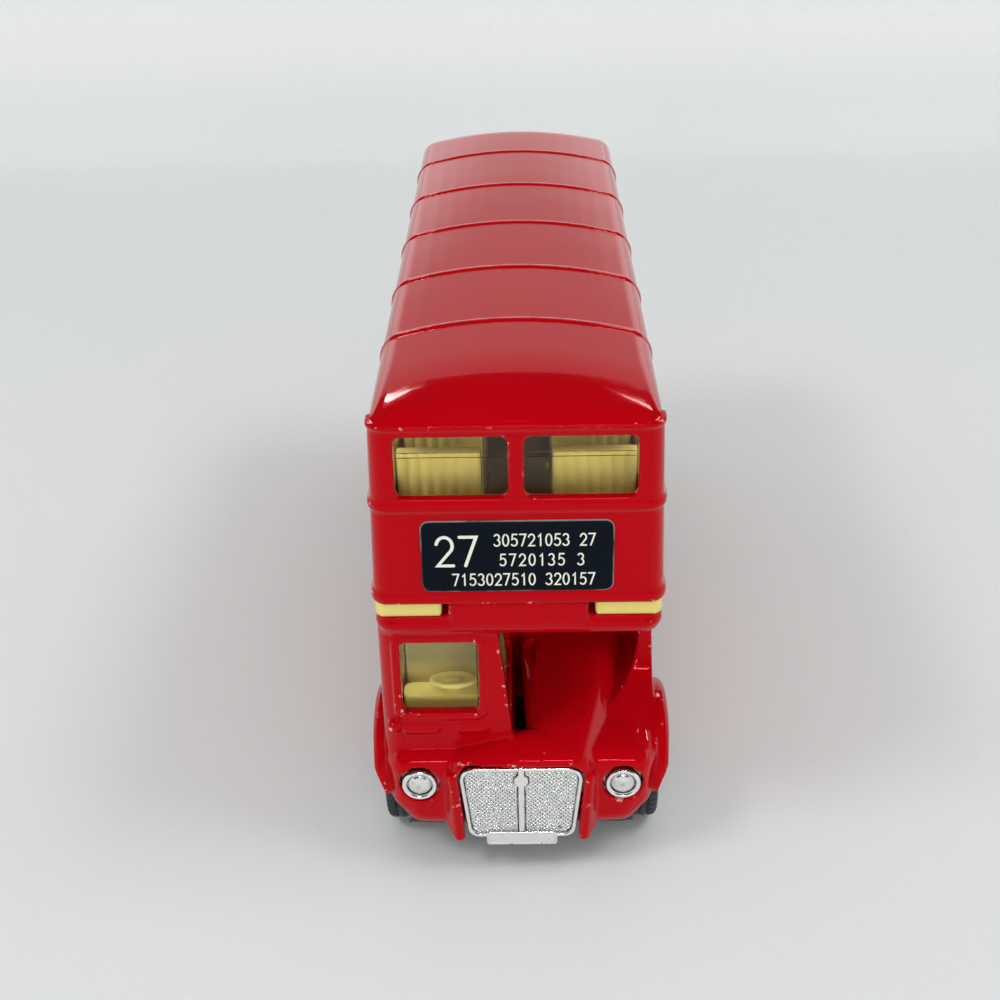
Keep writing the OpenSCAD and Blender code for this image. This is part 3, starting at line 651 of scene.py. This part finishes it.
def plate_blank():
    """The blank number plate across the foot of the grille, with a raised rim."""
    verts, faces, darkening = [], [], []
    hw, z0, z1, r = 4.65, 4.1, 6.3, 0.5
    rings = [(0.0, 1.9), (0.0, 0.12), (0.06, 0.0), (0.16, -0.08), (0.30, -0.08), (0.40, -0.02), (0.50, 0.02)]
    corner = 8
    for inset, dy in rings:
        a = max(r - inset, 0.02)
        for cx, cz, s in ((hw - inset - a, z1 - inset - a, 0), (-hw + inset + a, z1 - inset - a, 90),
                          (-hw + inset + a, z0 + inset + a, 180), (hw - inset - a, z0 + inset + a, 270)):
            for k in range(corner + 1):
                t = math.radians(s + 90 * k / corner)
                verts.append((cx + a * math.cos(t), GRILLE_Y + dy, cz + a * math.sin(t)))
                # Painted shade on the sides of the plate and on the inner slope of its rim
                darkening.append(0.30 if dy > 0.05 or 0.33 < inset < 0.45 else 0.0)
    n = 4 * (corner + 1)
    for j in range(len(rings) - 1):
        for k in range(n):
            m = (k + 1) % n
            faces.append((j * n + k, j * n + m, (j + 1) * n + m, (j + 1) * n + k))
    last = (len(rings) - 1) * n
    faces.append([last + k for k in range(n)])
    faces.append([k for k in range(n - 1, -1, -1)])
    return verts, faces, darkening


def headlamp(side):
    """Rim, groove and domed lens of one headlamp."""
    path = [(2.28, 0.0), (2.28, 1.55)]
    path += [(1.97 + 0.31 * math.cos(math.radians(t)), 1.82 + 0.34 * math.sin(math.radians(t)))
             for t in range(0, 181, 15)]
    path += [(1.65, 1.62), (1.63, 1.50), (1.59, 1.48), (1.56, 1.54)]
    path += [(1.54 * math.cos(math.radians(t)), 1.58 + 0.74 * math.sin(math.radians(t)))
             for t in range(4, 91, 6)]
    path[-1] = (0.004, 2.32)

    def spot(r, t, a):
        return (side * LAMP[0] + r * math.cos(a), LAMP[1] - t, LAMP[2] + r * math.sin(a))

    def lamp_darkening(r, t):
        """Painted shade in the groove round the lens and behind the rim, and grey towards the middle of the
        lens.
        """
        if 1.57 < r < 1.66 and t < 1.7:
            return 0.95
        if t < 1.2:
            return 0.55
        return 0.0 if r > 1.56 else 0.16 + 0.34 * step(-r, -0.55, -0.05)

    turns = 64
    verts, faces = lathe(path, turns, spot)
    n = len(path)
    darkening = [lamp_darkening(r, t) for r, t in path] * turns
    faces.append([i * n for i in range(turns)])
    faces.append([i * n + n - 1 for i in range(turns - 1, -1, -1)])
    return verts, faces, darkening


parts = ([], [], [])
add(parts, *grille_mesh())
add(parts, *plate_blank())
for side in (-1, 1):
    add(parts, *headlamp(side))
for x, y, z in (((-7, 7), (-60.4, -58.3), (7.5, 15.5)), ((-15.6, 15.6), (-59.3, -58.3), (10.3, 14.7))):
    v, f = soft_block(x, y, z)
    # Painted shade on the blocks behind the grille and the lamps
    add(parts, v, f, [0.4] * len(v))
mesh = from_mm("radiator_plating", parts[0], parts[1])
outward(mesh)
smooth_all(mesh)
a = mesh.attributes.new("darkening", "FLOAT", "POINT")
a.data.foreach_set("value", np.array(parts[2], np.float32))
grille = link("radiator_plating", mesh)
grille.modifiers.new("even", "WEIGHTED_NORMAL").weight = NORMAL_WEIGHT
place(grille, "bus", "plated_plastic", PLATED, "radiator_grille")


# Front label: dark film with a plain number and rows of plain numerals

def label_rings(hw, z, r, insets):
    rings = []
    for inset, y in insets:
        a = max(r - inset, 0.05)
        ring = []
        for cx, cz, s in ((hw - inset - a, z[1] - inset - a, 0), (-hw + inset + a, z[1] - inset - a, 90),
                          (-hw + inset + a, z[0] + inset + a, 180), (hw - inset - a, z[0] + inset + a, 270)):
            for k in range(11):
                t = math.radians(s + 9 * k)
                ring.append((cx + a * math.cos(t), y, cz + a * math.sin(t)))
        rings.append(ring)
    return rings


rings = label_rings(11.5, (41.4, 51.1), 1.1, [(0.02, DECK_FRONT + 0.05), (0.0, DECK_FRONT - 0.13),
                                              (0.05, DECK_FRONT - 0.17), (0.12, DECK_FRONT - 0.18),
                                              (0.22, DECK_FRONT - 0.18), (0.6, DECK_FRONT - 0.18)])
verts = [p for ring in rings for p in ring]
n = len(rings[0])
faces = [(j * n + k, j * n + (k + 1) % n, (j + 1) * n + (k + 1) % n, (j + 1) * n + k)
         for j in range(len(rings) - 1) for k in range(n)]
faces.append([(len(rings) - 1) * n + k for k in range(n)])
faces.append([k for k in range(n - 1, -1, -1)])
mesh = from_mm("label_film", verts, faces)
outward(mesh)
a = mesh.attributes.new("rim", "FLOAT", "POINT")
a.data.foreach_set("value", np.repeat([1.0, 1.0, 0.9, 0.35, 0.0, 0.0], n).astype(np.float32))
film = link("label_film", mesh)
place(film, "bus", "label_film", FILM, "route_label")


def stroke(points, width, y, steps=10):
    """A printed line of even width with round ends, as a thin closed shape."""
    pts = [np.array(p, float) for p in points]
    left, right = [], []
    for i, p in enumerate(pts):
        before = pts[i] - pts[i - 1] if i else pts[1] - pts[0]
        after = pts[i + 1] - pts[i] if i + 1 < len(pts) else before
        d = before / np.linalg.norm(before) + after / np.linalg.norm(after)
        d /= max(np.linalg.norm(d), 1e-9)
        k = width / 2 / max(np.dot(d, after / np.linalg.norm(after)), 0.5)
        nrm = np.array((-d[1], d[0])) * k
        left.append(p + nrm)
        right.append(p - nrm)

    def cap(centre, start):
        angles = [start + math.pi * k / steps for k in range(1, steps)]
        return [centre + width / 2 * np.array((math.cos(a), math.sin(a))) for a in angles]

    d0, d1 = pts[1] - pts[0], pts[-1] - pts[-2]
    end = cap(pts[-1], math.atan2(d1[1], d1[0]) - math.pi / 2)
    begin = cap(pts[0], math.atan2(d0[1], d0[0]) + math.pi / 2)
    loop = right + end + left[::-1] + begin
    m, n = len(pts), len(loop)
    verts = [(p[0], y, p[1]) for p in loop] + [(p[0], y + 0.05, p[1]) for p in loop]
    first = 2 * m + len(end) - 1
    flat = [[i, i + 1, first - i - 1, first - i] for i in range(m - 1)]
    flat.append([m - 1 + k for k in range(len(end) + 2)])
    flat.append([first] + [first + 1 + k for k in range(len(begin))] + [0])
    faces = flat + [[n + k for k in f[::-1]] for f in flat]
    faces += [(k, n + k, n + (k + 1) % n, (k + 1) % n) for k in range(n)]
    return verts, faces


PRINT_Y = DECK_FRONT - 0.205


def bow(cx, cz, rx, rz, a0, a1, n=12):
    return [(cx + rx * math.cos(math.radians(a0 + (a1 - a0) * k / n)),
             cz + rz * math.sin(math.radians(a0 + (a1 - a0) * k / n))) for k in range(n + 1)]


NUMERALS = {"0": bow(0.31, 0.5, 0.29, 0.5, 90, 442, 22),
            "1": [(0.16, 0.80), (0.36, 1.0), (0.36, 0.5), (0.36, 0.0)],
            "2": bow(0.31, 0.70, 0.29, 0.30, 168, -32) + [(0.05, 0.0), (0.35, 0.0), (0.62, 0.0)],
            "3": bow(0.28, 0.75, 0.26, 0.25, 150, -62) + bow(0.28, 0.26, 0.31, 0.26, 52, -150),
            "5": [(0.56, 1.0), (0.14, 1.0), (0.08, 0.56)] + bow(0.28, 0.32, 0.32, 0.32, 112, -140),
            "7": [(0.0, 1.0), (0.30, 1.0), (0.60, 1.0), (0.40, 0.5), (0.20, 0.0)]}
lines = []


def numerals(text, x, z, pitch, wide, high, width):
    """Plain numerals in one row, from x, on the line z."""
    for i, c in enumerate(text):
        if c != " ":
            lines.append(([(x + i * pitch + wide * u, z + high * v) for u, v in NUMERALS[c]], width))


numerals("27", -9.70, 45.05, 2.85, 3.3, 3.9, 0.40)
for text, x0, x1, z in (("305721053 27", -2.75, 9.2, 47.7), ("5720135 3", -2.1, 7.9, 45.0),
                        ("7153027510 320157", -7.8, 9.2, 42.3)):
    gap = (x1 - x0 - 0.72) / (len(text) - 1)
    numerals(text, x0, z, gap, 1.16, 1.55, 0.19)
parts = ([], [], [])
for path, width in lines:
    v, f = stroke(path, width, PRINT_Y)
    add(parts, v, f, [0.0] * len(v))
mesh = from_mm("label_print", parts[0], parts[1])
outward(mesh)
place(link("label_print", mesh), "bus", "label_film", PRINT)


# Wheels and axles

def wheel_spot(side, y):
    def spot(r, t, a):
        return (side * t, y + r * math.cos(a), WHEEL_R + r * math.sin(a))
    return spot


def tyre_profile():
    x0, x1 = TYRE_X
    r = WHEEL_R
    path = [(HUB_R, x0), (r - 1.2, x0)]
    path += [(r - 0.75 + 0.75 * math.sin(math.radians(t)), x0 + 0.75 - 0.75 * math.cos(math.radians(t)))
             for t in range(10, 91, 16)]
    width = x1 - x0 - 1.75
    groove = ((-0.22, 0.0), (-0.14, -0.05), (-0.10, -0.24), (0.10, -0.24), (0.14, -0.05), (0.22, 0.0))
    for k in range(3):
        c = x0 + 0.85 + width * (k + 0.5) / 3
        path += [(r + dr, c + dx) for dx, dr in groove]
    path += [(r - 0.9 + 0.9 * math.cos(math.radians(t)), x1 - 0.9 + 0.9 * math.sin(math.radians(t)))
             for t in range(4, 91, 14)]
    path += [(r - 1.25, x1 - 0.01), (r - 1.40, x1 - 0.12), (r - 1.62, x1 - 0.12), (r - 1.75, x1 - 0.04),
             (r - 1.95, x1 - 0.10), (HUB_R + 0.25, x1 - 0.30), (HUB_R + 0.06, x1 - 0.38), (HUB_R, x1 - 0.55)]
    return path + [path[0]]


def tread(r, t, a):
    """Small notches across both shoulders of the tread."""
    x0, x1 = TYRE_X
    if r < WHEEL_R - 0.35 or x0 + 1.6 < t < x1 - 1.6:
        return 0.0
    return -0.13 * step(math.cos(a * 44), 0.35, 0.8)


def hub_profile():
    x0, x1 = TYRE_X
    bore = 1.05
    corners = [(bore, x0 - 0.6), (2.2, x0 - 0.6), (2.2, x0 + 0.4), (HUB_R, x0 + 0.4), (HUB_R, x1 - 0.5),
               (HUB_R - 0.6, x1 - 0.5), (HUB_R - 1.1, x1 - 1.6), (2.5, x1 - 1.3), (2.3, x1 - 0.5),
               (bore, x1 - 0.5)]
    path = rounded_path(corners, 0.16, 4)
    return path + [path[0]]


AXLE_HEAD = [(0.0, 18.55), (0.55, 18.53), (1.0, 18.44), (1.35, 18.30), (1.52, 18.16), (1.50, 18.06),
             (1.02, 18.02), (1.0, 17.9)]


def turned(name, verts, faces):
    """An object of a turned shape with its seam closed."""
    mesh = from_mm(name, verts, faces)
    bm = bmesh.new()
    bm.from_mesh(mesh)
    bmesh.ops.remove_doubles(bm, verts=bm.verts, dist=1e-7)
    bm.to_mesh(mesh)
    bm.free()
    outward(mesh)
    smooth_all(mesh)
    ob = link(name, mesh)
    ob.modifiers.new("even", "WEIGHTED_NORMAL").weight = NORMAL_WEIGHT
    return ob


for end, y in AXLE_Y.items():
    for key, side in (("l", -1), ("r", 1)):
        at = end + key
        ob = turned("tyre_" + at + "_moulded", *lathe(tyre_profile(), 352, wheel_spot(side, y), tread))
        place(ob, "wheel_" + at, "tyre_plastic", TYRE, "tyre_" + at)
        ob = turned("hub_" + at + "_plated", *lathe(hub_profile(), 96, wheel_spot(side, y)))
        # Painted shade in the ring-shaped hollow of the hub's face
        a = ob.data.attributes.new("darkening", "FLOAT", "POINT")
        value = [0.55 if abs(abs(v.co.x) / MM - TYRE_X[1] + 1.45) < 0.3 else 0.0 for v in ob.data.vertices]
        a.data.foreach_set("value", np.array(value, np.float32))
        place(ob, "wheel_" + at, "plated_plastic", PLATED, "hub_" + at)

    path = AXLE_HEAD + [(r, -t) for r, t in AXLE_HEAD[::-1]]
    ob = turned("axle_" + end + "_turned", *lathe(path, 64, wheel_spot(1, y)))
    place(ob, "bus", "axle_steel", STEEL, {"f": "front_axle", "r": "rear_axle"}[end])


# Floor and backdrop: one pale sheet, turned up behind the bus

def paper():
    p = Paint("paper")
    tone = p.noise(9, 4, 0.6)
    fine = p.noise(420, 3, 0.6, 2.0)
    pale = p.mix(tone, (0.752, 0.786, 0.782), (0.802, 0.825, 0.818))
    high = p.node("ShaderNodeSeparateXYZ", Vector=p.co).outputs["Z"]
    pale = p.mix(p.ramp(high, 0.004, 0.040), pale, (0.88, 0.895, 0.88))
    p.set("Base Color", p.mix(p.ramp(fine, 0.55, 0.85, 0.0, 0.12), pale, (0.56, 0.56, 0.55)))
    p.set("Roughness", 0.85)
    p.set("Normal", p.bump(fine, 20))
    # Seen from below, the sheet is clear
    clear = p.node("ShaderNodeBsdfTransparent")
    side = p.node("ShaderNodeNewGeometry")
    both = p.node("ShaderNodeMixShader")
    p.join(side.outputs["Backfacing"], both.inputs[0])
    p.join(p.shader.outputs[0], both.inputs[1])
    p.join(clear.outputs[0], both.inputs[2])
    p.join(both.outputs[0], p.out.inputs["Surface"])
    return p.material


def backdrop():
    y_wall, top, bend = 0.300, 0.080, 0.022
    path = [(-1.6, 0.0), (-0.4, 0.0), (0.1, 0.0), (y_wall - bend, 0.0)]
    path += [(y_wall - bend + bend * math.sin(t), bend - bend * math.cos(t))
             for t in (math.radians(10 * k) for k in range(1, 9))]
    path += [(y_wall + 0.002, bend * 1.3), (y_wall + 0.006, 0.055), (y_wall + 0.010, top)]
    verts, faces = [], []
    for y, z in path:
        verts += [(-1.8, y, z), (1.8, y, z)]
    for k in range(len(path) - 1):
        faces.append((2 * k, 2 * k + 1, 2 * k + 3, 2 * k + 2))
    mesh = bpy.data.meshes.new("paper_sheet")
    mesh.from_pydata(verts, [], faces)
    smooth_all(mesh)
    mesh.materials.append(paper())
    ob = link("paper_sheet", mesh)
    return ob


backdrop()

world = bpy.data.worlds.new("studio")
scene.world = world
world.use_nodes = True
tree = world.node_tree
tree.nodes.clear()
out = tree.nodes.new("ShaderNodeOutputWorld")
back = tree.nodes.new("ShaderNodeBackground")
tree.links.new(back.outputs[0], out.inputs[0])
co = tree.nodes.new("ShaderNodeTexCoord")
split = tree.nodes.new("ShaderNodeSeparateXYZ")
tree.links.new(co.outputs["Generated"], split.inputs[0])
path = tree.nodes.new("ShaderNodeLightPath")


def sums(op, a, b):
    n = tree.nodes.new("ShaderNodeMath")
    n.operation = op
    for i, v in enumerate((a, b)):
        if hasattr(v, "is_linked"):
            tree.links.new(v, n.inputs[i])
        else:
            n.inputs[i].default_value = v
    return n.outputs[0]


def between(value, low, high, a=0.0, b=1.0):
    n = tree.nodes.new("ShaderNodeMapRange")
    n.interpolation_type = "SMOOTHSTEP"
    tree.links.new(value, n.inputs["Value"])
    for k, v in (("From Min", low), ("From Max", high), ("To Min", a), ("To Max", b)):
        n.inputs[k].default_value = v
    return n.outputs[0]


def blend(share, a, b):
    n = tree.nodes.new("ShaderNodeMix")
    n.data_type = "RGBA"
    for socket, v in ((n.inputs[0], share), (n.inputs[6], a), (n.inputs[7], b)):
        if hasattr(v, "is_linked"):
            tree.links.new(v, socket)
        else:
            socket.default_value = v
    return n.outputs[2]


def window(towards, side, half_wide, half_high, soft=0.03):
    """Share of a bright pane of the room, seen in one direction with one of its axes along side."""
    d = Vector(towards).normalized()
    u = Vector(side)
    u = (u - u.dot(d) * d).normalized()
    v = d.cross(u)
    share = None
    for axis, half in ((u, half_wide), (v, half_high)):
        dot = tree.nodes.new("ShaderNodeVectorMath")
        dot.operation = "DOT_PRODUCT"
        tree.links.new(co.outputs["Generated"], dot.inputs[0])
        dot.inputs[1].default_value = axis
        part = between(sums("ABSOLUTE", dot.outputs["Value"], 0.0), half, half + soft, 1.0, 0.0)
        share = part if share is None else sums("MULTIPLY", share, part)
    ahead = tree.nodes.new("ShaderNodeVectorMath")
    ahead.operation = "DOT_PRODUCT"
    tree.links.new(co.outputs["Generated"], ahead.inputs[0])
    ahead.inputs[1].default_value = d
    return sums("MULTIPLY", share, between(ahead.outputs["Value"], 0.2, 0.4))


# The room that only reflections see: pale up to a curved edge and dim above it, with bright panes
x, y, z = (split.outputs[k] for k in "XYZ")
low = between(sums("ABSOLUTE", x, 0.0), 0.50, 0.68, 0.15, 0.40)
top = sums("MAXIMUM", sums("SUBTRACT", 0.63, sums("MULTIPLY", sums("MULTIPLY", x, x), 1.8)), low)
near = blend(between(y, -0.2, 0.3), (0.88, 0.89, 0.89, 1), (1.16, 1.17, 1.17, 1))
pale = blend(between(z, 0.20, 0.30), near, (0.57, 0.58, 0.58, 1))
room = blend(between(sums("SUBTRACT", z, top), -0.025, 0.025), pale, (0.030, 0.030, 0.034, 1))
for towards, side, wide, high, glow in PANES:
    room = blend(window(towards, side, wide, high), room, (glow, glow, glow * 0.98, 1))
# Light from all round, a little stronger from behind and from low in front, and a plain background
soft = blend(between(y, -1.0, 1.0), (0.57, 0.57, 0.57, 1), (0.62, 0.62, 0.62, 1))
ahead = sums("MULTIPLY", between(y, -0.75, -0.15, 1.0, 0.0), between(z, 0.30, 0.62, 1.0, 0.0))
soft = blend(ahead, soft, (0.64, 0.64, 0.64, 1))
colour = blend(path.outputs["Is Glossy Ray"], soft, room)
seen = sums("MAXIMUM", path.outputs["Is Camera Ray"], path.outputs["Is Transmission Ray"])
colour = blend(seen, colour, (0.74, 0.76, 0.74, 1))
tree.links.new(colour, back.inputs["Color"])


def softbox(name, place_at, aim, width, height, watts):
    lamp = bpy.data.lights.new(name, "AREA")
    lamp.shape = "RECTANGLE"
    lamp.size = width
    lamp.size_y = height
    lamp.energy = watts
    ob = bpy.data.objects.new(name, lamp)
    ob.location = place_at
    ob.rotation_mode = "QUATERNION"
    ob.rotation_quaternion = (Vector(aim) - Vector(place_at)).to_track_quat("-Z", "Y")
    ob.visible_glossy = False
    scene.collection.objects.link(ob)


for row in SOFTBOXES:
    softbox(*row)


# Camera at the photograph's viewing angle

def camera():
    data = bpy.data.cameras.new("camera")
    data.sensor_width = SENSOR_MM
    data.sensor_fit = "AUTO"
    data.lens = SENSOR_MM * FOCAL_PX / FRAME_PX
    data.clip_start = 0.01
    data.clip_end = 20.0
    pitch, yaw, roll = (math.radians(a) for a in (PITCH, YAW, ROLL))
    ahead = Vector((math.sin(yaw) * math.cos(pitch), math.cos(yaw) * math.cos(pitch), -math.sin(pitch)))
    right = Vector((math.cos(yaw), -math.sin(yaw), 0))
    up = right.cross(ahead)
    r = math.cos(roll) * right + math.sin(roll) * up
    u = -math.sin(roll) * right + math.cos(roll) * up
    ob = bpy.data.objects.new("camera", data)
    turn = Matrix((r, u, -ahead)).transposed()
    ob.matrix_world = Matrix.Translation(CAMERA_AT) @ turn.to_4x4()
    scene.collection.objects.link(ob)
    scene.camera = ob


camera()
scene.view_settings.view_transform = "Standard"
